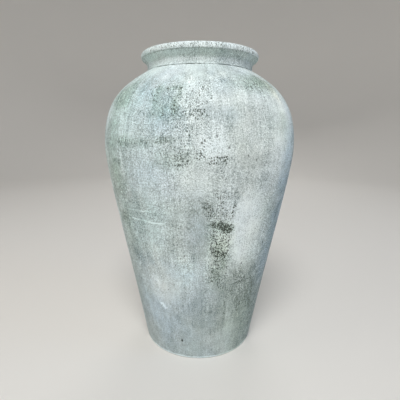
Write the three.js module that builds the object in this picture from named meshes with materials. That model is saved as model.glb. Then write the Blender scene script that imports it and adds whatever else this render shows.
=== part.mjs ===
// A tall terracotta jar without handles: a narrow flat foot, a wall that swells to a high belly,
// a full round shoulder, a short neck and an overhanging rolled lip.
// It is built as a potter builds a jar of this size, from a base slab and turned sections that
// are luted together. Each joint between sections is stepped: a tongue on the inner half of the
// lower edge stands inside a rebate in the upper edge.
// Millimetres, +Z up. The origin is at the middle of the foot, on the surface it stands on.

import * as THREE from 'three';

// Outside of the jar
const HEIGHT = 500; // floor to the top of the lip
const FOOT_RADIUS = 99;
const BELLY_RADIUS = 160; // widest point
const BELLY_HEIGHT = 351;
const NECK_RADIUS = 87; // outside of the neck, at the seam with the shoulder
const NECK_SEAM_HEIGHT = 471;
const LIP_RADIUS = 97;
const LIP_SECTION_RADIUS = 6.6; // half the thickness of the rolled lip

// How the outline leaves each of those points
const FOOT_FLARE = 9.75; // degrees outward from vertical at the foot
const SHOULDER_SLOPE = 29.9; // degrees above horizontal where the shoulder meets the neck
const LOWER_WALL_FULLNESS = 189; // how far the straight taper runs up from the foot
const BELLY_FULLNESS_BELOW = 40; // how far the widest point stays upright, downward
const BELLY_FULLNESS_ABOVE = 73; // and upward
const SHOULDER_FULLNESS = 47.5; // how far the slope at the neck runs out over the shoulder

// Wall, floor and neck
const WALL = 9;
const FLOOR = 12; // height of the top of the base slab
const FLOOR_LEDGE = 4; // height of the slab's outer edge, which the wall stands on
const FOOT_BEVEL = 1.5; // worn edge round the foot
const FOOT_RING_WIDTH = 15; // flat ring that the jar stands on
const FOOT_RECESS = 1.5; // hollow under the slab, inside the ring
const THROAT_RADIUS = 77.5; // inside of the neck
const NECK_UPRIGHT = 8; // height of the plain neck, below the flare
const LIP_SEAM_HEIGHT = 489; // where the rolled lip sits on the flared neck
const MOUTH_ANGLE = 150; // degrees round the lip, from outside, where the mouth's cone starts
const MOUTH_SLOPE = 60; // degrees above horizontal of the cone inside the lip

// Joints
const LOWER_JOINT_HEIGHT = 176; // lower wall to belly wall
const BELLY_JOINT_HEIGHT = 351; // belly wall to shoulder
const TONGUE = 6; // height of each tongue
const JOINT_GAP = 0.3; // room for the slip in a joint

// Fineness
const SEGMENTS = 64; // round the jar
const LOWER_STEPS = 6;
const BELLY_STEPS = 6;
const SHOULDER_STEPS = 10;
const FLARE_STEPS = 5;
const LIP_STEPS = 4; // on each of the lip's three arcs

const halfGap = JOINT_GAP / 2;
const radians = THREE.MathUtils.degToRad;

const limewash = { color: 0xc3ccc8, roughness: 0.93, metalness: 0 };
const greyLimewash = { color: 0xa3acad, roughness: 0.93, metalness: 0 };
const bareClay = { color: 0x9c9286, roughness: 0.96, metalness: 0 };

// The outline from foot to neck is two cubic curves that meet, upright, at the belly.
function outline() {
  const foot = new THREE.Vector2(FOOT_RADIUS, 0);
  const belly = new THREE.Vector2(BELLY_RADIUS, BELLY_HEIGHT);
  const neck = new THREE.Vector2(NECK_RADIUS, NECK_SEAM_HEIGHT);
  const flare = radians(FOOT_FLARE);
  const slope = radians(SHOULDER_SLOPE);
  const taper = new THREE.Vector2(Math.sin(flare), Math.cos(flare));
  const overShoulder = new THREE.Vector2(Math.cos(slope), -Math.sin(slope));
  const path = new THREE.CurvePath();
  path.add(new THREE.CubicBezierCurve(
    foot,
    foot.clone().addScaledVector(taper, LOWER_WALL_FULLNESS),
    new THREE.Vector2(BELLY_RADIUS, BELLY_HEIGHT - BELLY_FULLNESS_BELOW),
    belly,
  ));
  path.add(new THREE.CubicBezierCurve(
    belly,
    new THREE.Vector2(BELLY_RADIUS, BELLY_HEIGHT + BELLY_FULLNESS_ABOVE),
    neck.clone().addScaledVector(overShoulder, SHOULDER_FULLNESS),
    neck,
  ));
  return path;
}

const wallOutline = outline();
const wallLength = wallOutline.getLength();

// The point that lies `depth` inside the outer surface, `along` millimetres up the outline.
function wallPoint(along, depth) {
  const share = THREE.MathUtils.clamp(along / wallLength, 0, 1);
  const point = wallOutline.getPoint(share);
  const tangent = wallOutline.getTangent(share);
  return new THREE.Vector2(point.x - tangent.y * depth, point.y + tangent.x * depth);
}

// How far up the outline the surface at `depth` reaches `height`.
function alongAtHeight(height, depth = 0) {
  let low = 0;
  let high = wallLength;
  for (let i = 0; i < 40; i += 1) {
    const middle = (low + high) / 2;
    if (wallPoint(middle, depth).y < height) low = middle;
    else high = middle;
  }
  return low;
}

// Points on the surface at `depth`, evenly spaced from one place on the outline to another.
function wallRun(from, to, depth, steps) {
  const points = [];
  for (let i = 0; i <= steps; i += 1) {
    points.push(wallPoint(from + ((to - from) * i) / steps, depth));
  }
  return points;
}

// The stepped upper edge of a section, from outside to inside.
function tongueEdge(joint) {
  const shoulderDepth = WALL / 2 + halfGap;
  return [
    wallPoint(joint - halfGap, shoulderDepth),
    wallPoint(joint + TONGUE, shoulderDepth),
  ];
}

// The stepped lower edge of a section, from inside to outside.
function rebateEdge(joint) {
  const rebateDepth = WALL / 2 - halfGap;
  return [
    wallPoint(joint + TONGUE + JOINT_GAP, rebateDepth),
    wallPoint(joint + halfGap, rebateDepth),
  ];
}

// Points round an arc of the lip's round section, between two angles in degrees.
function lipArc(from, to, steps) {
  const points = [];
  for (let i = 0; i <= steps; i += 1) {
    const angle = radians(from + ((to - from) * i) / steps);
    points.push(new THREE.Vector2(
      LIP_RADIUS - LIP_SECTION_RADIUS + LIP_SECTION_RADIUS * Math.cos(angle),
      HEIGHT - LIP_SECTION_RADIUS + LIP_SECTION_RADIUS * Math.sin(angle),
    ));
  }
  return points;
}

// A closed section, listed up the outside and down the inside, turned round the jar's axis.
function turned(name, section, finish) {
  const profile = [...section];
  if (profile[0].x > 0) profile.push(profile[0].clone());
  const geometry = new THREE.LatheGeometry(profile, SEGMENTS);
  geometry.rotateX(Math.PI / 2);
  const mesh = new THREE.Mesh(geometry, new THREE.MeshStandardMaterial(finish));
  mesh.name = name;
  return mesh;
}

const lowerJoint = alongAtHeight(LOWER_JOINT_HEIGHT);
const bellyJoint = alongAtHeight(BELLY_JOINT_HEIGHT);
const lipContact = Math.asin((LIP_SEAM_HEIGHT - HEIGHT + LIP_SECTION_RADIUS) / LIP_SECTION_RADIUS);
const lipContactRadius = LIP_RADIUS - LIP_SECTION_RADIUS * (1 - Math.cos(lipContact));
const mouthEdge = lipArc(MOUTH_ANGLE, MOUTH_ANGLE, 1)[0];

// Radius of the mouth's cone at a height inside the lip.
function mouthConeRadius(height) {
  return mouthEdge.x - (mouthEdge.y - height) / Math.tan(radians(MOUTH_SLOPE));
}

// Round slab with a raised middle that locates the wall, standing on a flat ring.
function baseSlab() {
  const ledge = wallPoint(alongAtHeight(FLOOR_LEDGE), 0);
  const bevelTop = wallPoint(alongAtHeight(FOOT_BEVEL), 0);
  const spigotRadius = wallPoint(alongAtHeight(FLOOR_LEDGE, WALL), WALL).x - JOINT_GAP;
  const ringInside = FOOT_RADIUS - FOOT_BEVEL - FOOT_RING_WIDTH;
  return turned('base_slab', [
    new THREE.Vector2(0, FOOT_RECESS),
    new THREE.Vector2(ringInside - FOOT_RECESS, FOOT_RECESS),
    new THREE.Vector2(ringInside, 0),
    new THREE.Vector2(FOOT_RADIUS - FOOT_BEVEL, 0),
    bevelTop,
    ledge,
    new THREE.Vector2(spigotRadius, FLOOR_LEDGE),
    new THREE.Vector2(spigotRadius, FLOOR),
    new THREE.Vector2(0, FLOOR),
  ], bareClay);
}

// Tapering wall that stands on the slab's ledge.
function lowerWall() {
  const bottom = FLOOR_LEDGE + JOINT_GAP;
  return turned('lower_wall', [
    ...wallRun(alongAtHeight(bottom), lowerJoint - halfGap, 0, LOWER_STEPS),
    ...tongueEdge(lowerJoint),
    ...wallRun(lowerJoint + TONGUE, alongAtHeight(bottom, WALL), WALL, LOWER_STEPS),
  ], greyLimewash);
}

// The wall from the lower joint up to the widest point.
function bellyWall() {
  const insideBottom = lowerJoint + TONGUE + JOINT_GAP;
  return turned('belly_wall', [
    ...wallRun(lowerJoint + halfGap, bellyJoint - halfGap, 0, BELLY_STEPS),
    ...tongueEdge(bellyJoint),
    ...wallRun(bellyJoint + TONGUE, insideBottom, WALL, BELLY_STEPS),
    ...rebateEdge(lowerJoint),
  ], limewash);
}

// The domed shoulder, closing in to a flat seat with a tongue for the neck.
function shoulder() {
  const seat = NECK_SEAM_HEIGHT - halfGap;
  const insideBottom = bellyJoint + TONGUE + JOINT_GAP;
  const tongueRadius = (NECK_RADIUS + THROAT_RADIUS) / 2 - halfGap;
  const insideTop = wallPoint(wallLength, WALL);
  const throatRise = (insideTop.x - THROAT_RADIUS) * Math.tan(radians(SHOULDER_SLOPE));
  return turned('shoulder', [
    ...wallRun(bellyJoint + halfGap, alongAtHeight(seat), 0, SHOULDER_STEPS),
    new THREE.Vector2(tongueRadius, seat),
    new THREE.Vector2(tongueRadius, NECK_SEAM_HEIGHT + TONGUE),
    new THREE.Vector2(THROAT_RADIUS, NECK_SEAM_HEIGHT + TONGUE),
    new THREE.Vector2(THROAT_RADIUS, insideTop.y + throatRise),
    ...wallRun(wallLength, insideBottom, WALL, SHOULDER_STEPS),
    ...rebateEdge(bellyJoint),
  ], limewash);
}

// Short upright neck that flares out under the lip.
function neckCollar() {
  const bottom = NECK_SEAM_HEIGHT + halfGap;
  const top = LIP_SEAM_HEIGHT - halfGap;
  const rebateRadius = (NECK_RADIUS + THROAT_RADIUS) / 2 + halfGap;
  const rebateTop = NECK_SEAM_HEIGHT + TONGUE + JOINT_GAP;
  const flareStart = new THREE.Vector2(NECK_RADIUS, NECK_SEAM_HEIGHT + NECK_UPRIGHT);
  const flareEnd = new THREE.Vector2(lipContactRadius, top);
  const flare = new THREE.QuadraticBezierCurve(
    flareStart,
    new THREE.Vector2(NECK_RADIUS, (flareStart.y + flareEnd.y) / 2),
    flareEnd,
  );
  const coneFoot = LIP_SEAM_HEIGHT - (mouthConeRadius(LIP_SEAM_HEIGHT) - THROAT_RADIUS)
    * Math.tan(radians(MOUTH_SLOPE));
  return turned('neck_collar', [
    new THREE.Vector2(NECK_RADIUS, bottom),
    ...flare.getPoints(FLARE_STEPS),
    new THREE.Vector2(mouthConeRadius(top), top),
    new THREE.Vector2(THROAT_RADIUS, coneFoot),
    new THREE.Vector2(THROAT_RADIUS, rebateTop),
    new THREE.Vector2(rebateRadius, rebateTop),
    new THREE.Vector2(rebateRadius, bottom),
  ], limewash);
}

// Rolled lip, round outside and on top, coned inside towards the throat.
function lipRoll() {
  const bottom = LIP_SEAM_HEIGHT + halfGap;
  const contact = THREE.MathUtils.radToDeg(
    Math.asin((bottom - HEIGHT + LIP_SECTION_RADIUS) / LIP_SECTION_RADIUS),
  );
  return turned('lip_roll', [
    ...lipArc(contact, 0, LIP_STEPS),
    ...lipArc(0, 90, LIP_STEPS).slice(1),
    ...lipArc(90, MOUTH_ANGLE, LIP_STEPS).slice(1),
    new THREE.Vector2(mouthConeRadius(bottom), bottom),
  ], limewash);
}

const jar = new THREE.Group();
jar.add(baseSlab(), lowerWall(), bellyWall(), shoulder(), neckCollar(), lipRoll());

export default jar;
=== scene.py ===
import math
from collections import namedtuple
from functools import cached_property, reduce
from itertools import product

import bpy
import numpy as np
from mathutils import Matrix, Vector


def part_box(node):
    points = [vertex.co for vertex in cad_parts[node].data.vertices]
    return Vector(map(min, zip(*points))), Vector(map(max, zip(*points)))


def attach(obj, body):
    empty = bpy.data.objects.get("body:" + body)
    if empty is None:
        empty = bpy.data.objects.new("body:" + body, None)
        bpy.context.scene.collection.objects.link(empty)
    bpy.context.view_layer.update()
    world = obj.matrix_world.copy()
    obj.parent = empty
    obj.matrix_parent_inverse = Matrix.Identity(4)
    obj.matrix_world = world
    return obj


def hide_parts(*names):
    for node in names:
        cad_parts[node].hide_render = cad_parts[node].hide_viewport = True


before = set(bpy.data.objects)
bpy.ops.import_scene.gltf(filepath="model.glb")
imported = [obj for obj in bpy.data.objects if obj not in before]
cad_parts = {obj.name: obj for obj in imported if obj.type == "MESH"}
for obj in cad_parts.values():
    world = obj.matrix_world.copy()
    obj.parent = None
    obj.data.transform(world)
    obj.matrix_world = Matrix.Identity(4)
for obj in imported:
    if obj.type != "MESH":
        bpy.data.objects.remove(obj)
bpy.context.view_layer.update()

# A tall terracotta jar in pale, distressed limewash. Each packed clay section gets a skin of its
# own: a closed turned shell whose outside carries the brushed, pitted and flaked coat as real
# relief, and whose inside keeps the ridges of the potter's fingers. All the skins take their
# relief and their masks from one shared surface description, so they meet without a step.
# Lengths in the surface code are millimetres, and meshes are written in metres. The front is -Y.
# Azimuth is in degrees from the front, growing towards +X, and `up` is the distance up the
# outside of the wall from the foot.

MM = 0.001

# ---- Sizes ----


def lowest(node):
    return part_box(node)[0][2] / MM


def highest(node):
    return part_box(node)[1][2] / MM


def reach(node):
    """A packed section's largest radius."""
    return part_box(node)[1][0] / MM


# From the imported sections, which leave this gap between each other
JOINT_GAP = 0.3
HEIGHT = highest("lip_roll")
BELLY_RADIUS = reach("belly_wall")
LIP_RADIUS = reach("lip_roll")
BELLY_HEIGHT = lowest("shoulder") - JOINT_GAP / 2
NECK_SEAM = lowest("neck_collar") - JOINT_GAP / 2
LIP_SEAM = lowest("lip_roll") - JOINT_GAP / 2
LOWER_JOINT = lowest("belly_wall") - JOINT_GAP / 2
FLOOR_LEDGE = lowest("lower_wall") - JOINT_GAP
FLOOR = highest("base_slab")

# The rest of the outline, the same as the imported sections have
FOOT_RADIUS = 99.0
NECK_RADIUS = 87.0
THROAT_RADIUS = 77.5
LIP_SECTION_RADIUS = 6.6
FOOT_FLARE = math.radians(9.75)
SHOULDER_SLOPE = math.radians(29.9)
LOWER_WALL_FULLNESS = 189.0
BELLY_FULLNESS_BELOW = 40.0
BELLY_FULLNESS_ABOVE = 73.0
SHOULDER_FULLNESS = 47.5
WALL = 9.0
TONGUE = 6.0
FOOT_BEVEL = 1.5
FOOT_RING_WIDTH = 15.0
FOOT_RECESS = 1.5
FLOOR_BEVEL = 1.0
NECK_UPRIGHT = 8.0
MOUTH_ANGLE = 150.0
MOUTH_SLOPE = math.radians(60.0)

# Fineness of the skins: columns round the jar, steps up the wall, and rows across the slab
AROUND = 1080
OUTSIDE_STEP = 1.15
COLLAR_STEP = 0.5
SEAM_STEP = 0.3
NEAR_SEAM = 5.0
THROAT_STEP = 1.0
INSIDE_STEP = 4.0
THROAT_ROWS = 7
SLAB_FACE_ROWS = 24
SLAB_EDGE_ROWS = 10
SLAB_EDGE_START = 0.2
SHARP_ANGLE = math.radians(62)

# Radius of the small flat caps that close the slab's skin at its middle
CAP_RADIUS = 2.0

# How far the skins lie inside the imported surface, so that their relief stays in the same box
SKIN_INSET = 0.32

# Radius of the cylinder that patterns are laid on, near the jar's mean radius
PATTERN_RADIUS = 130.0

# How far up that cylinder the patterns of the hidden surfaces start, clear of the outside's
INSIDE_PATTERN = 1000.0
JOINT_PATTERN = 2000.0
UNDERSIDE_PATTERN = 3000.0
FLOOR_PATTERN = 4000.0

# ---- Outline ----


def line(start, end, count=60):
    """Points along a straight stretch."""
    return np.linspace(start, end, count)


def cubic(start, handle, end_handle, end, count=600):
    """Points along a cubic curve."""
    t = np.linspace(0.0, 1.0, count)[:, None]
    start, handle, end_handle, end = map(np.array, (start, handle, end_handle, end))
    return (
        (1 - t) ** 3 * start
        + 3 * (1 - t) ** 2 * t * handle
        + 3 * (1 - t) * t ** 2 * end_handle
        + t ** 3 * end
    )


def arc(centre, radius, from_degrees, to_degrees, count=200):
    """Points round part of a circle."""
    angle = np.radians(np.linspace(from_degrees, to_degrees, count))
    return np.stack([centre[0] + radius * np.cos(angle), centre[1] + radius * np.sin(angle)], 1)


class Run:
    """A smooth stretch of the outline, measured along its length, with normals to its right."""

    def __init__(self, points, begins=0.0):
        points = np.asarray(points, float)
        steps = np.hypot(*np.diff(points, axis=0).T)
        keep = np.concatenate([[True], steps > 1e-9])
        self.points = points[keep]
        steps = np.hypot(*np.diff(self.points, axis=0).T)
        self.along = begins + np.concatenate([[0.0], np.cumsum(steps)])
        tangent = np.gradient(self.points, self.along, axis=0)
        tangent /= np.hypot(*tangent.T)[:, None]
        self.normals = np.stack([tangent[:, 1], -tangent[:, 0]], 1)
        self.ends = self.along[-1]

    def at(self, along, depth=0.0):
        """Radius, height and outward normal at places along the run, `depth` inside it."""
        along = np.atleast_1d(along)
        r, z = (np.interp(along, self.along, self.points[:, i]) for i in range(2))
        nr, nz = (np.interp(along, self.along, self.normals[:, i]) for i in range(2))
        return np.stack([r - nr * depth, z - nz * depth, nr, nz], 1)

    def at_height(self, height, depth=0.0):
        """The place along a rising run where the surface at `depth` reaches a height."""
        heights = self.points[:, 1] - self.normals[:, 1] * depth
        return float(np.interp(height, heights, self.along))


FOOT_POINT = np.array([FOOT_RADIUS, 0.0])
TAPER = np.array([math.sin(FOOT_FLARE), math.cos(FOOT_FLARE)])
BELLY_POINT = np.array([BELLY_RADIUS, BELLY_HEIGHT])
NECK_POINT = np.array([NECK_RADIUS, NECK_SEAM])
OVER_SHOULDER = np.array([math.cos(SHOULDER_SLOPE), -math.sin(SHOULDER_SLOPE)])
LIP_CENTRE = np.array([LIP_RADIUS - LIP_SECTION_RADIUS, HEIGHT - LIP_SECTION_RADIUS])

BODY = Run(np.concatenate([
    cubic(FOOT_POINT, FOOT_POINT + LOWER_WALL_FULLNESS * TAPER,
          BELLY_POINT - (0.0, BELLY_FULLNESS_BELOW), BELLY_POINT),
    cubic(BELLY_POINT, BELLY_POINT + (0.0, BELLY_FULLNESS_ABOVE),
          NECK_POINT + SHOULDER_FULLNESS * OVER_SHOULDER, NECK_POINT),
]))

LIP_CONTACT = math.degrees(math.asin((LIP_SEAM - LIP_CENTRE[1]) / LIP_SECTION_RADIUS))
LIP_OUTER_CONTACT = arc(LIP_CENTRE, LIP_SECTION_RADIUS, LIP_CONTACT, LIP_CONTACT, 1)[0]
MOUTH_EDGE = arc(LIP_CENTRE, LIP_SECTION_RADIUS, MOUTH_ANGLE, MOUTH_ANGLE, 1)[0]


def mouth_cone(height):
    """The point at a height on the cone inside the lip."""
    return np.array([MOUTH_EDGE[0] - (MOUTH_EDGE[1] - height) / math.tan(MOUTH_SLOPE), height])


CONE_FOOT_HEIGHT = LIP_SEAM - (mouth_cone(LIP_SEAM)[0] - THROAT_RADIUS) * math.tan(MOUTH_SLOPE)
FLARE_START = np.array([NECK_RADIUS, NECK_SEAM + NECK_UPRIGHT])
FLARE_HANDLE = np.array([NECK_RADIUS, (FLARE_START[1] + LIP_SEAM) / 2])

COLLAR = Run(
    np.concatenate([
        line(NECK_POINT, FLARE_START, 40),
        cubic(FLARE_START, (FLARE_START + 2 * FLARE_HANDLE) / 3,
              (LIP_OUTER_CONTACT + 2 * FLARE_HANDLE) / 3, LIP_OUTER_CONTACT, 200),
    ]),
    BODY.ends,
)
LIP = Run(
    np.concatenate([
        arc(LIP_CENTRE, LIP_SECTION_RADIUS, LIP_CONTACT, MOUTH_ANGLE),
        line(MOUTH_EDGE, mouth_cone(LIP_SEAM)),
    ]),
    COLLAR.ends,
)
INSIDE_NECK = Run(
    np.concatenate([
        line(mouth_cone(LIP_SEAM), (THROAT_RADIUS, CONE_FOOT_HEIGHT)),
        line((THROAT_RADIUS, CONE_FOOT_HEIGHT), (THROAT_RADIUS, NECK_SEAM + TONGUE)),
    ]),
    LIP.ends,
)

# ---- Patterns on the surface ----

# Seeded random numbers that the relief's noise is drawn from. They repeat in every direction, and
# each pattern's seed shifts it to another part of them.
LATTICE_SIZE = 64
LATTICE = np.random.default_rng(41).random(3 * (LATTICE_SIZE,)).astype(np.float32)
SEED_SHIFT = 7.31

# How much fainter each finer octave of a cloud is
FAINTER = 0.55


class Sheet:
    """The places of a skin's vertices on the pattern cylinder: rows up the wall, columns round."""

    def __init__(self, up):
        self.azimuth = np.arange(AROUND)[None, :] * (360.0 / AROUND)
        self.up = np.asarray(up, float)[:, None]
        self.sine = np.sin(np.radians(self.azimuth))
        self.cosine = -np.cos(np.radians(self.azimuth))
        self.x = PATTERN_RADIUS * self.sine
        self.y = PATTERN_RADIUS * self.cosine
        self.shape = (len(up), AROUND)

    def noise(self, around, up, seed):
        """Smooth noise from 0 to 1 whose features are about `around` by `up` in size."""
        shift = SEED_SHIFT * seed
        axes = (
            self.x / around + shift,
            self.y / around + 2.0 * shift,
            self.up / up + 3.0 * shift,
        )
        cells = [np.floor(axis) for axis in axes]
        shares = [(axis - cell).astype(np.float32) for axis, cell in zip(axes, cells)]
        shares = [share * share * (3.0 - 2.0 * share) for share in shares]
        cells = [cell.astype(np.int64) for cell in cells]
        total = np.zeros(self.shape, np.float32)
        for corner in product((0, 1), repeat=3):
            place = tuple((cell + step) % LATTICE_SIZE for cell, step in zip(cells, corner))
            x, y, z = (share if step else 1.0 - share for share, step in zip(shares, corner))
            total += LATTICE[place] * (x * y * z)
        return total

    def cloud(self, around, up, seed, octaves=3):
        """Noise with finer and fainter noise laid over it."""
        total, weights = 0.0, 0.0
        for octave in range(octaves):
            size, weight = 2.0 ** octave, FAINTER ** octave
            total = total + weight * self.noise(around / size, up / size, seed + octave)
            weights += weight
        return total / weights

    def away(self, azimuth, up):
        """Millimetres round and up from a place to every vertex."""
        round_by = (self.azimuth - azimuth + 180.0) % 360.0 - 180.0
        return np.radians(round_by) * PATTERN_RADIUS, self.up - up


def smooth(low, high, value):
    """0 below `low`, 1 above `high`, and a soft step between."""
    share = np.clip((value - low) / (high - low), 0.0, 1.0)
    return share * share * (3.0 - 2.0 * share)


def band(distance, middle, width):
    """1 at `middle`, falling softly to almost 0 at twice `width` to either side."""
    return np.exp(-((distance - middle) / width) ** 2)


# ---- Marks on the coat ----

# The masks that the materials read. A patch changes the first ones with a ragged edge, and its
# tints fade out round it.
EDGED = ("wear", "grime", "light", "calm")
TINTS = ("green", "blue", "cream")
MASKS = ("bare",) + EDGED + TINTS + ("pit", "brush", "lower", "limed")

# A region of the coat: its middle's azimuth and distance up the wall, its width in degrees, its
# height, and how soft and ragged its edge is, from 0 to 1. `wear` is how much of the coat has
# flaked to the ground in specks, `grime` how dark it is stained, and in some patches how
# dark it is painted as shade, `light` how much paler or darker the coat is, in some patches as
# painted shade, `calm` how smooth it lies, and `green`, `blue` and `cream` lean its colour.
Patch = namedtuple(
    "Patch",
    "azimuth up width tall edge wear grime light calm green blue cream",
    defaults=(0.6,) + 7 * (0.0,),
)

PATCHES = [
    # stained patch high on the left of the shoulder: a cool middle with a darker rim
    Patch(-17.5, 422, 17, 56, 0.5, wear=0.25, grime=0.07, green=0.2, blue=0.4),
    Patch(-23, 436, 5, 26, 0.5, wear=0.3, grime=0.2, green=0.5),
    Patch(-15, 443, 10, 8, 0.5, wear=0.4, grime=0.28, green=0.4),
    Patch(-10.5, 436, 2.4, 22, 0.4, wear=0.6, grime=0.35, green=0.3),
    Patch(-12.5, 417, 3.4, 26, 0.5, wear=0.5, grime=0.3, green=0.5),
    Patch(-21, 409, 8, 22, 0.5, wear=0.1, grime=0.16, green=0.4),
    # specks down the middle of the shoulder, across its right side and over the belly below
    Patch(-1, 423, 18, 58, 0.5, wear=0.42),
    Patch(-3, 404, 8, 18, 0.5, wear=0.3, grime=0.06),
    Patch(27, 452, 24, 26, wear=0.36, grime=0.05, green=0.2),
    Patch(-6, 364, 17, 46, 0.5, wear=0.4),
    Patch(1.5, 362, 3, 26, 0.5, wear=0.5),
    Patch(8, 346, 13, 12, 0.4, wear=0.95, grime=0.12),
    Patch(6, 358, 18, 34, light=0.12),
    Patch(-8, 318, 16, 46, 0.5, wear=0.16),
    Patch(-17, 371, 9, 9, 0.5, wear=0.4, grime=0.42, green=0.3),
    Patch(-30, 367, 18, 12, 0.5, wear=0.25, grime=0.2, green=0.2),
    Patch(-14, 347, 20, 20, 0.5, wear=0.28, grime=0.2, green=0.2),
    Patch(-44, 366, 10, 24, 0.5, wear=0.3, grime=0.2, green=0.25),
    Patch(28, 342, 16, 16, 0.5, wear=0.2, grime=0.1),
    # the worn patch below the belly: a run of specks that darkens to a bare, stained core and
    # trails off towards the foot
    Patch(7.5, 303, 3.6, 20, 0.4, wear=0.6),
    Patch(4, 283, 6, 12, 0.4, wear=0.6, grime=0.5),
    Patch(5.5, 271, 4, 20, 0.4, wear=0.6, grime=0.2),
    Patch(13.5, 280, 14, 56, 0.3, wear=0.46, light=0.05),
    Patch(19, 274, 1.8, 26, 0.4, wear=0.7, grime=0.1),
    Patch(10.5, 253, 8, 12, 0.4, wear=1.1, grime=0.85, green=0.5),
    Patch(16, 246, 9, 12, 0.4, wear=1.0, grime=0.75, green=0.5),
    Patch(13, 222, 13, 50, 0.18, wear=0.68, light=0.2, green=0.4, cream=0.6),
    Patch(8.5, 222, 4, 44, 0.3, wear=0.3, grime=0.25),
    Patch(13, 177, 13, 62, 0.3, wear=0.66, grime=0.16, green=0.3),
    Patch(11, 166, 6, 34, 0.5, wear=0.2, grime=0.12, green=0.2),
    Patch(29, 162, 13, 30, 0.5, wear=0.3, grime=0.26),
    Patch(17, 125, 10, 62, 0.5, wear=0.3, grime=0.2),
    # streaks that run down from the worn patch, soft marks near the foot, and painted shade low on
    # the right side
    Patch(20.6, 105, 1.6, 60, 0.5, wear=0.2, grime=0.3),
    Patch(23.2, 108, 1.8, 52, 0.5, light=0.16),
    Patch(26, 84, 1.6, 64, 0.5, light=0.1),
    Patch(19, 72, 7, 36, 0.5, wear=0.3, grime=0.26),
    Patch(8.5, 98, 3.4, 7, 0.5, grime=0.3),
    Patch(-29, 74, 3.6, 32, grime=0.14),
    Patch(30, 40, 20, 60, light=0.06),
    # specks, and painted shade low on the right side
    Patch(46, 90, 34, 150, wear=0.2, grime=0.26, green=0.1),
    # painted shade low on the right side, near the foot
    Patch(62, 50, 30, 110, grime=0.3),
    # the smooth grey-blue area beside the worn patch, and the marks to its left
    Patch(-1, 240, 14, 84, 0.16, wear=-0.15, grime=0.2, calm=0.6, blue=0.5),
    Patch(-9, 248, 12, 5, 0.5, wear=0.4, grime=0.26),
    Patch(-12, 215, 14, 26, grime=0.13),
    Patch(-12, 262, 26, 90, 0.5, wear=-0.2),
    Patch(-43, 184, 18, 26, grime=0.2, blue=0.35),
    # stained passages
    Patch(-53, 250, 9, 22, 0.5, wear=0.1, grime=0.42, green=0.1),
    Patch(-56, 270, 16, 70, wear=0.1, grime=0.12),
    Patch(-58, 172, 30, 96, grime=0.26),
    Patch(-52, 40, 20, 60, grime=0.16),
    Patch(-40, 370, 15, 16, grime=0.15, green=0.2),
    Patch(-42, 350, 24, 26, grime=0.14),
    Patch(-34, 455, 26, 26, wear=0.15, grime=0.26),
    Patch(36, 130, 26, 80, wear=0.1, grime=0.38),
    Patch(-1, 281, 12, 26, grime=0.24),
    Patch(-50, 292, 26, 18, grime=0.22),
    Patch(-54, 320, 18, 50, grime=0.3, green=0.5),
    Patch(-54, 378, 16, 66, grime=0.3, green=0.6),
    Patch(-52, 435, 22, 40, grime=0.32, green=0.9),
    Patch(50, 396, 14, 26, grime=0.2, green=0.2),
    Patch(45, 461, 28, 32, wear=0.15, grime=0.56, green=0.9),
    Patch(52, 445, 7, 44, light=0.16, cream=0.9),
    # a soft band across the shoulder, painted darker and bluer
    Patch(14, 404, 20, 24, wear=-0.1, grime=0.12, blue=0.3),
    Patch(15, 459, 7, 10, grime=0.16, blue=0.3),
    # smoother, worn or paler passages
    Patch(-42, 518, 44, 26, wear=-0.1, light=0.2, calm=0.4, cream=0.4),
    Patch(-26, 484, 36, 46, wear=-0.2, light=0.08, calm=0.7),
    Patch(18, 486, 58, 40, wear=-0.2, light=-0.1, calm=0.7, blue=0.2),
    Patch(18, 402, 24, 84, wear=-0.2, light=-0.04, calm=0.6, cream=0.3),
    Patch(34, 436, 44, 76, wear=0.14, calm=0.5),
    Patch(28, 330, 26, 96, wear=-0.25, calm=0.5, cream=0.3),
    Patch(-31, 318, 26, 56, wear=-0.15, light=0.04, calm=0.5),
    Patch(1, 318, 20, 40, wear=-0.2, light=0.1, calm=0.6),
    Patch(-31, 400, 20, 44, wear=-0.2),
    Patch(30, 240, 17, 110, 0.5, wear=-0.3, light=0.36, calm=0.4, cream=0.3),
    Patch(22, 238, 9, 66, 0.5, light=0.16),
    Patch(50, 376, 20, 130, wear=-0.1, light=0.34, calm=0.3, cream=0.5),
    Patch(10, 424, 14, 30, light=0.12),
    Patch(8, 368, 20, 44, light=0.13),
    Patch(-11, 457, 13, 20, light=0.12),
    Patch(-49, 390, 12, 40, light=0.26),
    Patch(-35, 212, 14, 34, light=0.15),
    Patch(-32, 100, 26, 100, light=0.26),
    Patch(18, 32, 34, 54, light=0.13),
    Patch(-27, 232, 10, 66, 0.5, wear=-0.2, light=0.09, green=0.1),
    Patch(-9, 178, 16, 46, 0.5, light=0.07, green=0.12),
    Patch(-22, 142, 20, 46, light=0.16),
    # cool passages
    Patch(-40, 400, 44, 170, grime=0.05, green=0.4, blue=0.5),
    Patch(-36, 446, 16, 36, blue=0.3),
    Patch(-19, 398, 18, 30, blue=0.2),
    Patch(16, 452, 30, 44, blue=0.35),
    Patch(-20, 172, 24, 40, blue=0.3),
    Patch(-44, 240, 34, 100, grime=0.08, green=0.4, blue=0.3),
    # painted shade and painted bluish reflected light down the right side
    Patch(61, 312, 24, 110, 0.8, grime=0.12, light=-0.12, blue=0.8),
    Patch(58, 200, 24, 150, 0.8, grime=0.14, light=-0.12, blue=0.8),
    Patch(76, 262, 36, 150, 0.8, light=-0.06, blue=0.4),
    # tints of the lower wall
    Patch(-42, 120, 24, 120, 0.7, blue=0.3),
    Patch(-14, 78, 52, 120, 0.7, blue=0.45),
    Patch(38, 66, 40, 120, 0.7, green=0.35, cream=0.3),
]

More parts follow.
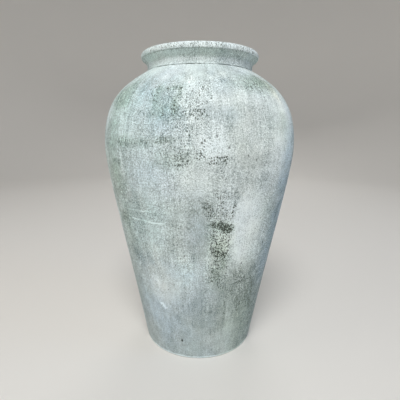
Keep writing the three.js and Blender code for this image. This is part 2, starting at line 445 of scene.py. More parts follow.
# Single pits: azimuth, distance up the wall, radius
PITS = [
    (-15, 37, 2.8), (-9, 202, 1.7), (29.5, 183, 1.8), (24, 351, 1.6), (8, 377, 1.6),
    (14, 362, 1.7), (29, 345, 1.5), (33, 92, 1.4), (-2, 60, 1.2), (47, 210, 1.6),
    (-50, 140, 1.6), (-26.6, 97.4, 1.6),
]

# A chip knocked out of the coat: azimuth, distance up the wall, half width and half height of the
# hollows that it is made of
CHIP = [(-30.2, 106.2, 4.4, 3.0), (-28.4, 103.2, 4.2, 3.0), (-27.0, 99.8, 3.4, 2.8)]

# Level scratches, each with its strength and the places that it runs through
SCRATCHES = [
    (1.0, ((-44.5, 252.5), (-34.5, 253.4), (-28.5, 251.5), (-20.0, 252.5))),
    (0.4, ((-47.0, 266.0), (-38.0, 267.0), (-27.5, 269.0))),
]

# The marks over the sides and back, which are of the same kinds as those at the front: how many
# there are, and the ranges of their places, strength and, for the pits, radius
BACK_PATCHES = 60
BACK_AZIMUTHS = (72, 288)
BACK_UPS = (60, 490)
BACK_STRENGTHS = (0.6, 1.1)
BACK_PITS = 60
BACK_PIT_LIMITS = [(60, 300), (15, 480), (1.1, 2.3)]

# The kinds of mark at the back: ranges of width and height, edge, what each changes in line with
# its strength, and what it changes at any strength
BACK_KINDS = [
    ((8, 18), (20, 60), 0.4, {"wear": 0.6, "grime": 0.2}, {"green": 0.3}),
    ((2, 6), (30, 70), 0.4, {"wear": 0.7, "grime": 0.25}, {}),
    ((14, 30), (30, 90), 0.6, {"light": 0.2}, {"wear": -0.2, "calm": 0.5, "cream": 0.3}),
    ((14, 30), (30, 90), 0.6, {"blue": 0.6}, {"grime": 0.1}),
    ((7, 14), (8, 22), 0.5, {"grime": 0.45}, {"wear": 0.2, "green": 0.3}),
]

# A worn patch at the back, like the one at the front
BACK_WORN_PATCH = [
    Patch(168, 262, 20, 52, 0.3, wear=0.62, grime=0.25, green=0.25),
    Patch(171, 284, 10, 12, 0.4, wear=0.75, grime=0.5, green=0.3),
]


def back_marks():
    """Seeded patches and pits over the sides and back."""
    rng = np.random.default_rng(17)
    patches = []
    for _ in range(BACK_PATCHES):
        azimuth = rng.uniform(*BACK_AZIMUTHS)
        up = rng.uniform(*BACK_UPS)
        widths, heights, edge, changes, constants = BACK_KINDS[rng.integers(0, len(BACK_KINDS))]
        strength = rng.uniform(*BACK_STRENGTHS)
        changes = {field: amount * strength for field, amount in changes.items()}
        patches.append(Patch(azimuth, up, rng.uniform(*widths), rng.uniform(*heights), edge,
                             **changes, **constants))
    pits = [[rng.uniform(*limits) for limits in BACK_PIT_LIMITS] for _ in range(BACK_PITS)]
    return patches + BACK_WORN_PATCH, pits


MORE_PATCHES, MORE_PITS = back_marks()

# Relief of the coat, in millimetres
OUT_OF_ROUND = 0.4
TURNING_RIDGES = 0.14
BRUSH_UPRIGHT = 0.16
BRUSH_ACROSS = 0.07
GRAIN = 0.10
COAT_DEPTH = 0.22
PIT_DEPTH = 0.55
CHIP_DEPTH = 0.5
SCRATCH_DEPTH = 0.15
CRACK_DEPTH = 0.6
BEAD_HEIGHT = 0.25
CREASE_DEPTH = 0.6

# The bare inside, in millimetres: finger ridges, a grainy surface, and how far below the neck the
# limewash reaches
RIDGE_PITCH = 13.0
RIDGE_HEIGHT = 0.35
RIDGE_WANDER = 6.0
INSIDE_GRAIN = 0.25
LIME_REACH = 22.0
LIME_FRAY = 30.0
LIME_FADE = 5.0

# Shapes of the marks
PATCH_SQUARENESS = 2.6
PATCH_FRAY = 1.6
FULL_PIT_RADIUS = 2.4
PIT_SLENDERNESS = 0.7


def patch_place(sheet, patch):
    """How far every vertex lies from a patch's middle, in half widths and half heights."""
    across, above = sheet.away(patch.azimuth, patch.up)
    half_width = math.radians(patch.width / 2) * PATTERN_RADIUS
    return across / half_width, above / (patch.tall / 2)


def patch_share(sheet, patch, ragged):
    """1 inside a patch, falling to 0 across its ragged edge."""
    across, above = patch_place(sheet, patch)
    distance = (
        np.abs(across) ** PATCH_SQUARENESS + np.abs(above) ** PATCH_SQUARENESS
    ) ** (1 / PATCH_SQUARENESS)
    distance = distance + PATCH_FRAY * patch.edge * (ragged - 0.5)
    return 1.0 - smooth(1.0 - patch.edge, 1.0 + patch.edge, distance)


def tint_share(sheet, patch, ragged):
    """1 in the middle of a patch, fading with no edge to 0 well outside it."""
    distance = np.hypot(*patch_place(sheet, patch)) + 0.8 * (ragged - 0.5)
    return np.exp(-0.8 * distance ** 2)


def pit_share(sheet, azimuth, up, radius):
    """1 at the middle of a wide pit, less at the middle of a narrow one, and 0 outside."""
    across, above = sheet.away(azimuth, up)
    distance = np.hypot(across, above * PIT_SLENDERNESS) / radius
    return min(1.0, radius / FULL_PIT_RADIUS) * (1.0 - smooth(0.35, 1.0, distance))


def hollow_share(sheet, ragged, azimuth, up, half_width, half_height):
    """1 inside one of the chip's hollows, falling to 0 across its ragged edge."""
    across, above = sheet.away(azimuth, up)
    distance = np.hypot(across / half_width, above / half_height)
    return 1.0 - smooth(0.7, 1.1, distance + 0.9 * ragged)


def line_distance(sheet, path):
    """Distance to a broken line given by azimuth and distance up the wall."""
    nearest = np.full(sheet.shape, np.inf)
    for (azimuth, up), (next_azimuth, next_up) in zip(path, path[1:]):
        across, above = sheet.away(azimuth, up)
        run = math.radians(next_azimuth - azimuth) * PATTERN_RADIUS
        rise = next_up - up
        share = np.clip((across * run + above * rise) / (run ** 2 + rise ** 2), 0.0, 1.0)
        nearest = np.minimum(nearest, np.hypot(across - share * run, above - share * rise))
    return nearest


def scratch_share(sheet, strength, path):
    """A scratch's strength along its line, and 0 away from it."""
    return strength * (1.0 - smooth(0.4, 1.5, line_distance(sheet, path)))


def patched(sheet):
    """The drifts of wear, stain and colour over the coat, with the patches laid over them, some of
    which paint shade and bluish light. The numbers of a cloud or a noise are its size round and up,
    and its seed."""
    masks = {
        "wear": 0.12 + 0.7 * (sheet.cloud(40, 70, 1) - 0.5),
        "grime": 0.12 * smooth(0.55, 0.9, sheet.cloud(26, 60, 4)),
        "light": 0.34 * (sheet.cloud(30, 60, 7) - 0.5),
        "calm": 0.5 * smooth(0.4, 0.65, sheet.cloud(45, 60, 36)),
        "green": 0.6 * (sheet.cloud(50, 70, 10) - 0.45),
        "blue": 0.8 * (sheet.cloud(60, 80, 13) - 0.45),
        "cream": 0.6 * (sheet.cloud(50, 60, 38) - 0.55),
    }
    ragged = sheet.cloud(9, 14, 16, 2)
    for patch in PATCHES + MORE_PATCHES:
        share = patch_share(sheet, patch, ragged)
        for mask in EDGED:
            masks[mask] = masks[mask] + getattr(patch, mask) * share
        if patch.green or patch.blue or patch.cream:
            share = tint_share(sheet, patch, ragged)
            for tint in TINTS:
                masks[tint] = masks[tint] + getattr(patch, tint) * share
    return masks


def coat(sheet):
    """The limewashed outside: how far it stands off the skin's base, and its masks."""
    masks = patched(sheet)

    # the lower wall is smoother, greyer and darker, partly as painted shade, and the neck and lip
    # are less worn
    lower = 1.0 - smooth(95, 190, sheet.up + 60 * (sheet.noise(24, 60, 19) - 0.5))
    collar = smooth(BODY.ends - 8, BODY.ends, sheet.up)
    wear = masks["wear"] * (1.0 - 0.55 * lower) * (1.0 - 0.3 * collar)
    calm = np.clip(masks["calm"], 0.0, 1.0)

    # brush strokes up and across the wall, with few upright ones on the neck and lip; how much
    # they show in the coat's colour; and a grain
    upright = sheet.noise(2.4, 45, 20) + 0.6 * sheet.noise(1.5, 18, 21) - 0.8
    across = sheet.noise(40, 2.3, 22) + 0.6 * sheet.noise(16, 1.6, 23) - 0.8
    upright = upright * (1.0 - 0.8 * collar)
    shown = 0.2 + 0.65 * smooth(0.42, 0.68, sheet.cloud(36, 50, 34, 2))
    shown = shown * (1.0 - 0.35 * lower) * (1.0 - 0.6 * calm)
    grain = sheet.noise(2.2, 2.6, 24) - 0.5
    fine = sheet.noise(1.5, 1.7, 25) - 0.5

    # the wear gathers in upright runs and in clusters, and small flakes come away inside them
    wear = wear + 0.5 * (sheet.noise(4.5, 30, 26) - 0.5) + 0.4 * (sheet.cloud(11, 15, 32, 2) - 0.5)
    chance = 0.5 + 0.62 * grain + 0.5 * fine + 0.1 * upright
    bar = 1.12 - 0.36 * np.clip(wear, 0.0, 1.2)
    bare = smooth(bar, bar + 0.08, chance)

    nothing = np.zeros(sheet.shape)
    pits = reduce(np.maximum, (pit_share(sheet, *pit) for pit in PITS + MORE_PITS), nothing)
    chip = reduce(np.maximum, (hollow_share(sheet, grain, *hollow) for hollow in CHIP), nothing)
    scratch = reduce(np.maximum, (scratch_share(sheet, *each) for each in SCRATCHES), nothing)
    scratch = scratch * smooth(-0.1, 0.4, sheet.noise(9, 9, 27))

    # a bead of slip smoothed over the neck seam, above a broken dark crack, and a crease under the
    # lip; painted shade darkens the crease and the band below it, and the lip carries a painted
    # highlight
    from_seam = sheet.up - BODY.ends
    from_lip = sheet.up - COLLAR.ends
    crack = band(from_seam, 0.2, 0.35) * smooth(0.40, 0.62, sheet.cloud(10, 10, 28, 2))
    bead = band(from_seam, 1.4, 0.6) * smooth(0.3, 0.7, sheet.noise(30, 30, 29))
    crease = band(from_lip, 0.6, 0.7)
    flare = smooth(8, 12, from_seam) * (1.0 - smooth(0.5, 2.0, from_lip))
    lip = smooth(0.5, 2.5, from_lip)

    # the foot's edge is painted paler
    foot = 1.0 - smooth(3.0, 5.0, sheet.up + 1.6 * (sheet.noise(12, 12, 33) - 0.5))

    relief = (
        OUT_OF_ROUND * (sheet.noise(110, 160, 30) - 0.5)
        + TURNING_RIDGES * (sheet.noise(300, 5, 31) - 0.5)
        + (1.0 - 0.5 * lower) * (BRUSH_UPRIGHT * upright + BRUSH_ACROSS * across)
        + GRAIN * (grain + fine) * (1.0 - 0.5 * lower)
        - COAT_DEPTH * bare
        - PIT_DEPTH * pits
        - CHIP_DEPTH * chip
        - SCRATCH_DEPTH * scratch
        - CRACK_DEPTH * crack
        + BEAD_HEIGHT * bead
        - CREASE_DEPTH * crease
    )
    # paler marks: the scratch, the bead, the chip and the foot's edge, and a painted highlight on
    # the lip
    lighter = 0.9 * scratch + 0.22 * bead + 1.4 * chip + 0.18 * lip + 0.6 * foot
    masks = {
        "bare": bare,
        "wear": wear + 0.5 * lip - 0.1 * flare,
        # painted shade in the crease under the lip and, darker and greener, on the band below it
        "grime": masks["grime"] + 0.25 * crease + 0.16 * flare,
        "light": masks["light"] + lighter,
        "calm": np.clip(calm + 0.6 * lower + 0.5 * lip, 0.0, 1.0),
        "green": np.clip(masks["green"] + 0.25 * flare, 0.0, 1.0),
        "blue": np.clip(masks["blue"], 0.0, 1.0),
        "cream": np.clip(masks["cream"], 0.0, 1.0),
        "pit": np.clip(pits + 0.8 * crack, 0.0, 1.0) * (1.0 - chip),
        "brush": 0.5 + (upright + 0.5 * across) * shown,
        "lower": lower * (1.0 - chip) * (1.0 - 0.7 * foot),
        "limed": np.ones(sheet.shape),
    }
    return np.minimum(relief, SKIN_INSET), masks


def bare_inside(sheet):
    """The inside: ridges left by the potter's fingers, a grainy surface, and the limewash that the
    brush carried in past the neck. The slab's faces, further up the pattern, stay bare."""
    wander = RIDGE_WANDER * sheet.noise(90, 90, 40)
    relief = (
        RIDGE_HEIGHT * np.sin((sheet.up + wander) * (2 * math.pi / RIDGE_PITCH))
        + INSIDE_GRAIN * (sheet.cloud(12, 10, 42) - 0.5)
    )
    masks = dict.fromkeys(MASKS, np.zeros(sheet.shape))
    masks["light"] = 0.3 * (sheet.cloud(30, 20, 45) - 0.5)
    reached = BODY.ends + INSIDE_PATTERN - LIME_REACH - LIME_FRAY * (sheet.cloud(14, 60, 51) - 0.5)
    limed = smooth(0.0, LIME_FADE, sheet.up - reached)
    masks["limed"] = limed * (sheet.up < UNDERSIDE_PATTERN)
    return relief, masks


# ---- Skins ----

OUTSIDE, JOINT, INSIDE = "outside", "joint", "inside"

# Part of a skin's section: places (radius, height, normal), how far up the pattern they lie, and
# whether it is outside, in a joint or inside
Rows = namedtuple("Rows", "places up zone")


def steps(start, end, step):
    """Even places from `start` to `end`, no further apart than `step`."""
    return np.linspace(start, end, max(2, math.ceil(abs(end - start) / step) + 1))


def outside_rows(run, start, end, step):
    """Rows up the outside from one place on a run to another, finer near the neck seam."""
    along = steps(start, end, step)
    fine_from, fine_to = max(start, BODY.ends - NEAR_SEAM), min(end, BODY.ends + NEAR_SEAM)
    if fine_from < fine_to:
        below, above = along[along < fine_from], along[along > fine_to]
        along = np.concatenate([below, steps(fine_from, fine_to, SEAM_STEP), above])
    return Rows(run.at(along), along, OUTSIDE)


def inside_rows(start, end):
    """Rows down the inside of the body's wall, with normals that point into the jar."""
    along = steps(start, end, INSIDE_STEP)
    places = BODY.at(along, WALL)
    places[:, 2:] *= -1
    return Rows(places, along + INSIDE_PATTERN, INSIDE)


def slab_face_rows(run, pattern):
    """Rows across one of the slab's level faces."""
    along = np.linspace(0, run.ends, SLAB_FACE_ROWS)
    return Rows(run.at(along), along + pattern, INSIDE)


def joint_rows(points):
    """Plain rows through the corners of a joint."""
    places = np.array([[r, z, 0.0, 0.0] for r, z in points])
    return Rows(places, np.full(len(points), JOINT_PATTERN), JOINT)


def turned(rows):
    """The vertices of a stretch of rows, their places on the pattern cylinder, and their masks."""
    sheet = Sheet(rows.up)
    relief = np.zeros(sheet.shape)
    masks = dict.fromkeys(MASKS, relief)
    if rows.zone == OUTSIDE:
        relief, masks = coat(sheet)
        relief = relief - SKIN_INSET
    elif rows.zone == INSIDE:
        relief, masks = bare_inside(sheet)
    radius = rows.places[:, 0:1] + rows.places[:, 2:3] * relief
    height = rows.places[:, 1:2] + rows.places[:, 3:4] * relief
    vertices = np.stack([radius * sheet.sine, radius * sheet.cosine, height], -1)
    wrap = np.stack(np.broadcast_arrays(sheet.x, sheet.y, sheet.up), -1)
    return vertices, wrap, masks


def quads(row, next_row, columns):
    """The four-sided faces between rows of so many vertices each."""
    column = np.arange(columns)
    next_column = (column + 1) % columns
    low, high = row[:, None] * columns, next_row[:, None] * columns
    corners = [low + column, low + next_column, high + next_column, high + column]
    return np.stack(corners, -1).reshape(-1, 4)


def shell_faces(zones, capped):
    """The faces between rows of vertices in the given zones: their corners in turn, how many each
    has, and their material slots, 0 for the coat and 1 for bare clay."""
    count = len(zones)
    row = np.arange(count - 1 if capped else count)
    next_row = (row + 1) % count
    corners = quads(row, next_row, AROUND).ravel()
    sizes = np.full(len(row) * AROUND, 4)
    bare = (zones[row] != OUTSIDE) | (zones[next_row] != OUTSIDE)
    slots = np.repeat(bare.astype(int), AROUND)
    if capped:
        rim = np.arange(AROUND)
        corners = np.concatenate([corners, rim[::-1], (count - 1) * AROUND + rim])
        sizes = np.concatenate([sizes, [AROUND, AROUND]])
        slots = np.concatenate([slots, [1, 1]])
    return corners, sizes, slots


def new_object(name, data):
    """An object in the scene that holds a mesh, a light or a camera."""
    made = bpy.data.objects.new(name, data)
    bpy.context.scene.collection.objects.link(made)
    return made


def fill(items, field, values, kind=np.float32):
    """Writes an array to one field of a mesh's vertices, corners, faces or attribute values."""
    items.foreach_set(field, values.astype(kind).ravel())


def skin(name, node, sections, capped=False):
    """A closed turned skin for one packed section. It is capped at both ends where the section
    starts and ends near the axis, and otherwise its last row joins its first."""
    vertices, wraps, masks = zip(*(turned(rows) for rows in sections))
    zones = np.concatenate([np.full(len(rows.up), rows.zone) for rows in sections])
    corners, sizes, slots = shell_faces(zones, capped)

    mesh = bpy.data.meshes.new(name)
    mesh.vertices.add(len(zones) * AROUND)
    fill(mesh.vertices, "co", np.concatenate(vertices) * MM)
    mesh.loops.add(len(corners))
    fill(mesh.loops, "vertex_index", corners, np.int32)
    mesh.polygons.add(len(sizes))
    fill(mesh.polygons, "loop_start", np.cumsum(sizes) - sizes, np.int32)
    fill(mesh.polygons, "loop_total", sizes, np.int32)
    fill(mesh.polygons, "material_index", slots, np.int32)
    mesh.update(calc_edges=True)
    mesh.validate()
    mesh.shade_smooth()
    mesh.set_sharp_from_angle(angle=SHARP_ANGLE)

    wrap = mesh.attributes.new("wrap", "FLOAT_VECTOR", "POINT")
    fill(wrap.data, "vector", np.concatenate(wraps) * MM)
    for mask in MASKS:
        attribute = mesh.attributes.new(mask, "FLOAT", "POINT")
        fill(attribute.data, "value", np.concatenate([part[mask] for part in masks]))

    mesh.materials.append(LIMEWASH)
    mesh.materials.append(BARE_CLAY)
    piece = new_object(name, mesh)
    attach(piece, "root")
    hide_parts(node)


def base_slab_skin():
    """Round slab: a shallow hollow and flat ring below, a paler edge, and the jar's inside floor."""
    ring_outside = FOOT_RADIUS - FOOT_BEVEL
    ring_inside = ring_outside - FOOT_RING_WIDTH
    bevel_top = BODY.at(BODY.at_height(FOOT_BEVEL))[0, :2]
    ledge = BODY.at(BODY.at_height(FLOOR_LEDGE))[0, :2]
    spigot = BODY.at(BODY.at_height(FLOOR_LEDGE, WALL), WALL)[0, 0] - JOINT_GAP
    hollow = Run([(CAP_RADIUS, FOOT_RECESS), (ring_inside - FOOT_RECESS, FOOT_RECESS)])
    edge = Run([(ring_outside, 0.0), bevel_top, ledge])
    edge_places = edge.at(np.linspace(SLAB_EDGE_START, edge.ends, SLAB_EDGE_ROWS))
    floor = Run([(spigot - FLOOR_BEVEL, FLOOR), (CAP_RADIUS, FLOOR)])
    skin("base_slab_skin", "base_slab", [
        slab_face_rows(hollow, UNDERSIDE_PATTERN),
        joint_rows([(ring_inside, 0.0), (ring_outside, 0.0)]),
        Rows(edge_places, np.linspace(SLAB_EDGE_START, FLOOR_LEDGE, SLAB_EDGE_ROWS), OUTSIDE),
        joint_rows([(spigot, FLOOR_LEDGE), (spigot, FLOOR - FLOOR_BEVEL)]),
        slab_face_rows(floor, FLOOR_PATTERN),
    ], capped=True)


def tongue(joint):
    """Corners of a section's stepped upper edge, from outside to inside."""
    depth = WALL / 2 + JOINT_GAP / 2
    return joint_rows([BODY.at(joint, depth)[0, :2], BODY.at(joint + TONGUE, depth)[0, :2]])


def rebate(joint):
    """Corners of a section's stepped lower edge, from inside to outside."""
    depth = WALL / 2 - JOINT_GAP / 2
    top = joint + TONGUE + JOINT_GAP
    return joint_rows([BODY.at(top, depth)[0, :2], BODY.at(joint, depth)[0, :2]])


def wall_skins():
    """The body's three sections: lower wall, belly wall and shoulder."""
    lower = BODY.at_height(LOWER_JOINT)
    belly = BODY.at_height(BELLY_HEIGHT)
    tongue_radius = (NECK_RADIUS + THROAT_RADIUS - JOINT_GAP) / 2
    inside_top = BODY.at(BODY.ends, WALL)[0]
    throat_foot = inside_top[1] + (inside_top[0] - THROAT_RADIUS) * math.tan(SHOULDER_SLOPE)
    throat = Run([
        (THROAT_RADIUS, NECK_SEAM + TONGUE), (THROAT_RADIUS, throat_foot), inside_top[:2],
    ])
    down = np.linspace(0, throat.ends, THROAT_ROWS, endpoint=False)
    skin("lower_wall_skin", "lower_wall", [
        outside_rows(BODY, BODY.at_height(FLOOR_LEDGE), lower, OUTSIDE_STEP),
        tongue(lower),
        inside_rows(lower + TONGUE, BODY.at_height(FLOOR_LEDGE, WALL)),
    ])
    skin("belly_wall_skin", "belly_wall", [
        outside_rows(BODY, lower, belly, OUTSIDE_STEP),
        tongue(belly),
        inside_rows(belly + TONGUE, lower + TONGUE + JOINT_GAP),
        rebate(lower),
    ])
    skin("shoulder_skin", "shoulder", [
        outside_rows(BODY, belly, BODY.ends, OUTSIDE_STEP),
        joint_rows([(tongue_radius, NECK_SEAM), (tongue_radius, NECK_SEAM + TONGUE)]),
        Rows(throat.at(down), BODY.ends + INSIDE_PATTERN + throat.ends - down, INSIDE),
        inside_rows(BODY.ends, belly + TONGUE + JOINT_GAP),
        rebate(belly),
    ])


def collar_skins():
    """The neck, limewashed inside and out, and the rolled lip."""
    rebate_radius = (NECK_RADIUS + THROAT_RADIUS + JOINT_GAP) / 2
    seat_radius = (LIP_OUTER_CONTACT[0] + mouth_cone(LIP_SEAM)[0]) / 2
    rebate_top = NECK_SEAM + TONGUE + JOINT_GAP
    skin("neck_collar_skin", "neck_collar", [
        outside_rows(COLLAR, BODY.ends, COLLAR.ends, COLLAR_STEP),
        joint_rows([(seat_radius, LIP_SEAM)]),
        outside_rows(INSIDE_NECK, LIP.ends, INSIDE_NECK.ends - JOINT_GAP, THROAT_STEP),
        joint_rows([(rebate_radius, rebate_top), (rebate_radius, NECK_SEAM)]),
    ])
    skin("lip_roll_skin", "lip_roll", [
        outside_rows(LIP, COLLAR.ends, LIP.ends, COLLAR_STEP),
        joint_rows([(seat_radius, LIP_SEAM)]),
    ])


# ---- Materials ----

WHITE = (1.0, 1.0, 1.0, 1.0)
THICK_COAT = (0.90, 0.98, 0.985, 1.0)
THIN_COAT = (0.145, 0.197, 0.192, 1.0)
GROUND = (0.07, 0.085, 0.07, 1.0)
STAIN_AND_SHADE = (0.128, 0.162, 0.142, 1.0)
PIT_GROUND_AND_SHADE = (0.03, 0.038, 0.03, 1.0)
CLAY = (0.33, 0.235, 0.165, 1.0)
CLAY_DARK = (0.20, 0.145, 0.105, 1.0)
GROG = (0.52, 0.43, 0.34, 1.0)

# What each mask that leans the coat's colour multiplies it by
LEANS = {
    "green": (0.86, 0.97, 0.85, 1.0),
    # also paints bluish reflected light down the right side
    "blue": (0.81, 0.91, 1.05, 1.0),
    "cream": (1.04, 1.0, 0.93, 1.0),
    # greyer towards the foot, and darker there, partly as painted shade
    "lower": (0.775, 0.79, 0.79, 1.0),
}

SPECULAR = 0.3

FLOOR_COLOUR = (0.74, 0.72, 0.69)
FLOOR_MOTTLING = 0.01
FLOOR_MOTTLING_SCALE = 9.0
FLOOR_ROUGHNESS = 0.85


class Graph:
    """A material's node tree, with short ways to make its nodes."""

    def __init__(self, name):
        self.material = bpy.data.materials.new(name)
        self.material.use_nodes = True
        self.nodes = self.material.node_tree.nodes
        self.links = self.material.node_tree.links
        self.shader = self.nodes["Principled BSDF"]

    @cached_property
    def wrap(self):
        """Places on the pattern cylinder."""
        return self.node("ShaderNodeAttribute", attribute_name="wrap").outputs["Vector"]

    def node(self, kind, **settings):
        made = self.nodes.new(kind)
        for name, value in settings.items():
            setattr(made, name, value)
        return made

    def feed(self, socket, value):
        """Links a socket to another node's output, or sets it to a plain value."""
        if isinstance(value, bpy.types.NodeSocket):
            self.links.new(value, socket)
        else:
            socket.default_value = value

    def mask(self, name):
        return self.node("ShaderNodeAttribute", attribute_name=name).outputs["Fac"]

    def math(self, operation, *values, clamp=False):
        made = self.node("ShaderNodeMath", operation=operation, use_clamp=clamp)
        for socket, value in zip(made.inputs, values):
            self.feed(socket, value)
        return made.outputs[0]

    def total(self, *values):
        """The sum of several numbers."""
        return reduce(lambda first, second: self.math("ADD", first, second), values)

    def stretched(self, around, up):
        """Places on the pattern cylinder, drawn together so that a pattern comes out longer."""
        stretch = self.node("ShaderNodeMapping")
        self.feed(stretch.inputs["Vector"], self.wrap)
        stretch.inputs["Scale"].default_value = (1 / around, 1 / around, 1 / up)
        return stretch.outputs[0]

    def noise(self, size, detail=2.0, around=1.0, up=1.0):
        """Noise with features about `size` millimetres, stretched round or up the jar."""
        made = self.node("ShaderNodeTexNoise")
        self.feed(made.inputs["Vector"], self.stretched(around, up))
        made.inputs["Scale"].default_value = 1 / (size * MM)
        made.inputs["Detail"].default_value = detail
        return made.outputs["Fac"]

    def dots(self, chance, size, up=1.0):
        """Small scattered dots, in the share of all cells that `chance` says."""
        cells = self.node("ShaderNodeTexVoronoi")
        self.feed(cells.inputs["Vector"], self.stretched(1.0, up))
        cells.inputs["Scale"].default_value = 1 / (size * MM)
        luck = self.node("ShaderNodeSeparateColor")
        self.feed(luck.inputs[0], cells.outputs["Color"])
        radius = self.spread(self.math("SUBTRACT", chance, luck.outputs[0]), 0.0, 0.25, 0.0, 0.4)
        inside = self.math("SUBTRACT", radius, cells.outputs["Distance"])
        return self.math("MULTIPLY", inside, 6.0, clamp=True)

    def spread(self, value, low, high, to_low, to_high):
        """Maps one range to another, held at both ends."""
        made = self.node("ShaderNodeMapRange")
        self.feed(made.inputs["Value"], value)
        for socket, number in zip(made.inputs[1:5], (low, high, to_low, to_high)):
            socket.default_value = number
        return made.outputs["Result"]

    def swing(self, noise, to_low, to_high):
        """Maps the middle of a noise, where almost all of it lies, to a range."""
        return self.spread(noise, 0.3, 0.7, to_low, to_high)

    def mix(self, share, first, second, blend="MIX"):
        """The first colour, or as much of the second one as `share` says."""
        made = self.node("ShaderNodeMix", data_type="RGBA", blend_type=blend)
        self.feed(made.inputs["Factor"], share)
        self.feed(made.inputs[6], first)
        self.feed(made.inputs[7], second)
        return made.outputs[2]

    def scaled(self, colour, brightness):
        """A colour made brighter or darker."""
        made = self.node("ShaderNodeVectorMath", operation="SCALE")
        self.feed(made.inputs[0], colour)
        self.feed(made.inputs["Scale"], brightness)
        return made.outputs[0]

    def bump(self, height, strength, depth):
        """Shading for relief that is too fine for the skin."""
        made = self.node("ShaderNodeBump")
        made.inputs["Strength"].default_value = strength
        made.inputs["Distance"].default_value = depth * MM
        self.feed(made.inputs["Height"], height)
        return made.outputs["Normal"]

    def finished(self, colour, roughness, normal):
        """The material, with its shader's colour, roughness and relief."""
        self.feed(self.shader.inputs["Base Color"], colour)
        self.feed(self.shader.inputs["Roughness"], roughness)
        self.feed(self.shader.inputs["Normal"], normal)
        self.shader.inputs["Specular IOR Level"].default_value = SPECULAR
        return self.material


def limewash():
    """Brushed lime paint over a darker ground: strokes, cloudy thickness, a speckled grain, flaked
    specks, stains, painted shade and highlight, and dark pits that are partly painted shade."""
    g = Graph("distressed_limewash")
    grain = g.noise(1.3, 1.5, up=1.2)
    specks = g.noise(1.5, 2.0, up=1.5)
    mottle = g.noise(4.5, 3.0, up=1.7)
    clouds = g.noise(18.0, 4.0)
    upright = g.noise(1.6, 2.0, up=20.0)
    drips = g.noise(3.0, 1.0, up=2.6)

    # grain, mottle and strokes make the coat thicker or thinner, less so where it lies calm; the
    # light mask adds paler and darker passages, among them painted shade down the right side and a
    # painted highlight on the lip
    uneven = g.total(g.swing(grain, -0.6, 0.6), g.swing(mottle, -0.12, 0.12),
                     g.swing(upright, -0.12, 0.12))
    rough = g.spread(g.mask("calm"), 0.0, 1.0, 1.0, 0.55)
    thickness_and_light = g.total(
        g.math("MULTIPLY", uneven, rough),
        g.swing(clouds, -0.12, 0.12),
        g.spread(g.mask("brush"), 0.0, 1.0, -0.24, 0.24),
        g.mask("light"),
    )
    colour = g.mix(g.spread(thickness_and_light, -0.7, 0.5, 0.0, 1.0), THIN_COAT, THICK_COAT)
    for mask, lean in LEANS.items():
        colour = g.mix(1.0, colour, g.mix(g.mask(mask), WHITE, lean), "MULTIPLY")

    # stains and painted shade, which leave flecks of the coat clean
    stained_and_shaded = g.math("MULTIPLY", g.mask("grime"), g.spread(specks, 0.38, 0.62, 0.3, 1.7), clamp=True)
    flecks = g.math("MULTIPLY", g.spread(drips, 0.53, 0.66, 0.0, 0.8),
                    g.math("MULTIPLY", g.mask("grime"), 3.0, clamp=True))
    stained_and_shaded = g.math("MULTIPLY", stained_and_shaded, g.math("SUBTRACT", 1.0, flecks))
    colour = g.mix(stained_and_shaded, colour, STAIN_AND_SHADE)

    # the ground shows where the coat has flaked: in the relief's flakes, in fine specks, in dots
    over = g.math("SUBTRACT", specks, g.math("MULTIPLY_ADD", g.mask("wear"), -0.19, 0.72))
    dots = g.dots(g.math("MULTIPLY_ADD", g.mask("wear"), 0.75, 0.02), 2.6, up=1.4)
    flaked = g.math("MAXIMUM", g.math("MULTIPLY", over, 22.0, clamp=True), g.mask("bare"))
    flaked = g.math("MAXIMUM", flaked, dots)
    deep = g.math("MAXIMUM", g.math("MULTIPLY", over, 8.0, clamp=True), g.mask("bare"))
    deep = g.math("MAXIMUM", deep, g.math("MULTIPLY", dots, 0.7))
    colour = g.mix(flaked, colour, g.mix(deep, STAIN_AND_SHADE, GROUND))
    # pits and the crack are painted near black: the ground showing, darkened further as painted
    # shade in the hollows
    colour = g.mix(g.mask("pit"), colour, PIT_GROUND_AND_SHADE)

    roughness = g.spread(g.math("ADD", grain, flaked), 0.3, 1.4, 0.86, 0.98)
    relief = g.total(grain, g.math("MULTIPLY", upright, 0.6), g.math("MULTIPLY", flaked, -0.8))
    return g.finished(colour, roughness, g.bump(relief, 0.6, 0.25))


def bare_clay():
    """Unpainted fired clay: warm brown, grainy, with darker drifts and a few pale grog grains, and
    the limewash where the brush reached inside."""
    g = Graph("bare_fired_clay")
    drift = g.noise(22.0, 5.0)
    grain = g.noise(1.1, 4.0)
    rings = g.noise(2.5, 2.0, around=30.0)
    grog = g.noise(2.4, 1.0)
    colour = g.mix(g.spread(drift, 0.35, 0.65, 0.0, 1.0), CLAY, CLAY_DARK)
    colour = g.mix(g.spread(rings, 0.4, 0.65, 0.0, 0.35), colour, CLAY_DARK)
    colour = g.mix(g.spread(grog, 0.68, 0.74, 0.0, 0.55), colour, GROG)
    colour = g.scaled(colour, g.math("ADD", g.mask("light"), g.swing(grain, 0.85, 1.15)))
    lime = g.mix(g.swing(grain, 0.35, 0.7), THIN_COAT, THICK_COAT)
    colour = g.mix(g.mask("limed"), colour, lime)
    relief = g.math("ADD", grain, rings)
    return g.finished(colour, g.swing(grain, 0.88, 0.98), g.bump(relief, 0.5, 0.3))


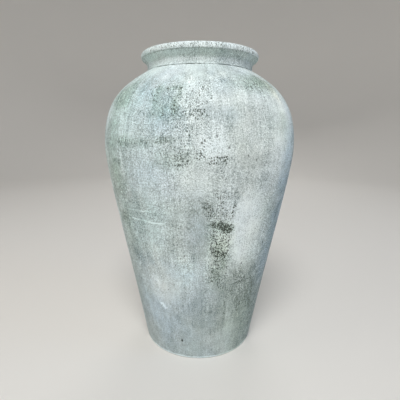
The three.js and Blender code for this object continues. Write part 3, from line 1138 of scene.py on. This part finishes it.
def stage_material():
    """Pale matte floor, with the faintest mottling."""
    g = Graph("pale_floor")
    mottling = g.node("ShaderNodeTexNoise")
    mottling.inputs["Scale"].default_value = FLOOR_MOTTLING_SCALE
    darkest, brightest = 1.0 - FLOOR_MOTTLING, 1.0 + FLOOR_MOTTLING
    brightness = g.spread(mottling.outputs["Fac"], 0.0, 1.0, darkest, brightest)
    g.feed(g.shader.inputs["Base Color"], g.scaled(FLOOR_COLOUR, brightness))
    g.shader.inputs["Roughness"].default_value = FLOOR_ROUGHNESS
    return g.material


# ---- Stage, lights and camera, in metres ----

STAGE_RADIUS = 3.4
STAGE_SWEEP = 1.2
STAGE_TOP = 3.6
STAGE_SIDES = 96
STAGE_SWEEP_ROWS = 17

WARM = (1.0, 0.995, 0.98)
NEUTRAL = (1.0, 1.0, 0.98)
COOL = (0.3, 0.6, 1.0)
SURROUND = (0.97, 0.985, 1.0, 1.0)
SURROUND_STRENGTH = 0.14

# The lights: name, place, target, diameter, power, colour
LIGHTS = [
    ("key", (-0.15, -1.5, 2.3), (0, 0, 0.3), 1.2, 51.0, WARM),
    ("left_fill", (-2.1, -0.7, 0.9), (0, 0, 0.2), 1.0, 4.0, NEUTRAL),
    ("cool_fill", (2.1, -0.6, 1.3), (0, 0, 0.7), 1.0, 4.5, COOL),
    ("back_fill", (0.3, 2.2, 1.7), (0, 0, 0.3), 1.4, 15.0, WARM),
]

# The viewing angle: a hand-held wide view from a little above the belly, tipped down
VIEW_DISTANCE = 1.143 * HEIGHT * MM
VIEW_HEIGHT = 0.757 * HEIGHT * MM
VIEW_PITCH = math.radians(12.32)
VIEW_YAW = math.radians(0.15)
VIEW_ROLL = math.radians(0.33)
SENSOR = 36.0
LENS = 28.8


def floor_and_backdrop():
    """A round pale floor that sweeps up into a wall on every side."""
    sweep = arc((STAGE_RADIUS - STAGE_SWEEP, STAGE_SWEEP), STAGE_SWEEP, -90, 0, STAGE_SWEEP_ROWS)
    profile = [(0.0, 0.0), *sweep, (STAGE_RADIUS, STAGE_TOP)]
    turns = [2 * math.pi * side / STAGE_SIDES for side in range(STAGE_SIDES)]
    vertices = [(r * math.sin(turn), -r * math.cos(turn), z) for r, z in profile for turn in turns]
    row = np.arange(len(profile) - 1)
    mesh = bpy.data.meshes.new("floor")
    mesh.from_pydata(vertices, [], quads(row, row + 1, STAGE_SIDES).tolist())
    mesh.validate()
    mesh.shade_smooth()
    mesh.materials.append(stage_material())
    floor = new_object("floor", mesh)


def area_light(name, place, target, size, power, colour):
    """A round lamp at a place, facing a target."""
    light = bpy.data.lights.new(name, "AREA")
    light.shape = "DISK"
    light.size = size
    light.energy = power
    light.color = colour
    lamp = new_object(name, light)
    lamp.location = place
    aim = Vector(target) - Vector(place)
    lamp.rotation_euler = aim.to_track_quat("-Z", "Y").to_euler()


def lights():
    """A broad soft key above and in front, a weak fill on the left, a cool one on the right, a
    wide one behind, and an even surround."""
    for light in LIGHTS:
        area_light(*light)
    world = bpy.data.worlds.new("surround")
    world.use_nodes = True
    background = world.node_tree.nodes["Background"]
    background.inputs["Color"].default_value = SURROUND
    background.inputs["Strength"].default_value = SURROUND_STRENGTH
    bpy.context.scene.world = world


def camera():
    """The camera looks along +Y, with +X to its right."""
    data = bpy.data.cameras.new("camera")
    data.sensor_width = SENSOR
    data.lens = LENS
    seat = new_object("camera", data)
    seat.matrix_world = (
        Matrix.Translation((0.0, -VIEW_DISTANCE, VIEW_HEIGHT))
        @ Matrix.Rotation(-VIEW_YAW, 4, "Z")
        @ Matrix.Rotation(math.pi / 2 - VIEW_PITCH, 4, "X")
        @ Matrix.Rotation(VIEW_ROLL, 4, "Z")
    )
    bpy.context.scene.camera = seat


camera()
floor_and_backdrop()
lights()
LIMEWASH = limewash()
BARE_CLAY = bare_clay()
base_slab_skin()
wall_skins()
collar_skins()

bpy.context.scene.view_settings.view_transform = "Standard"
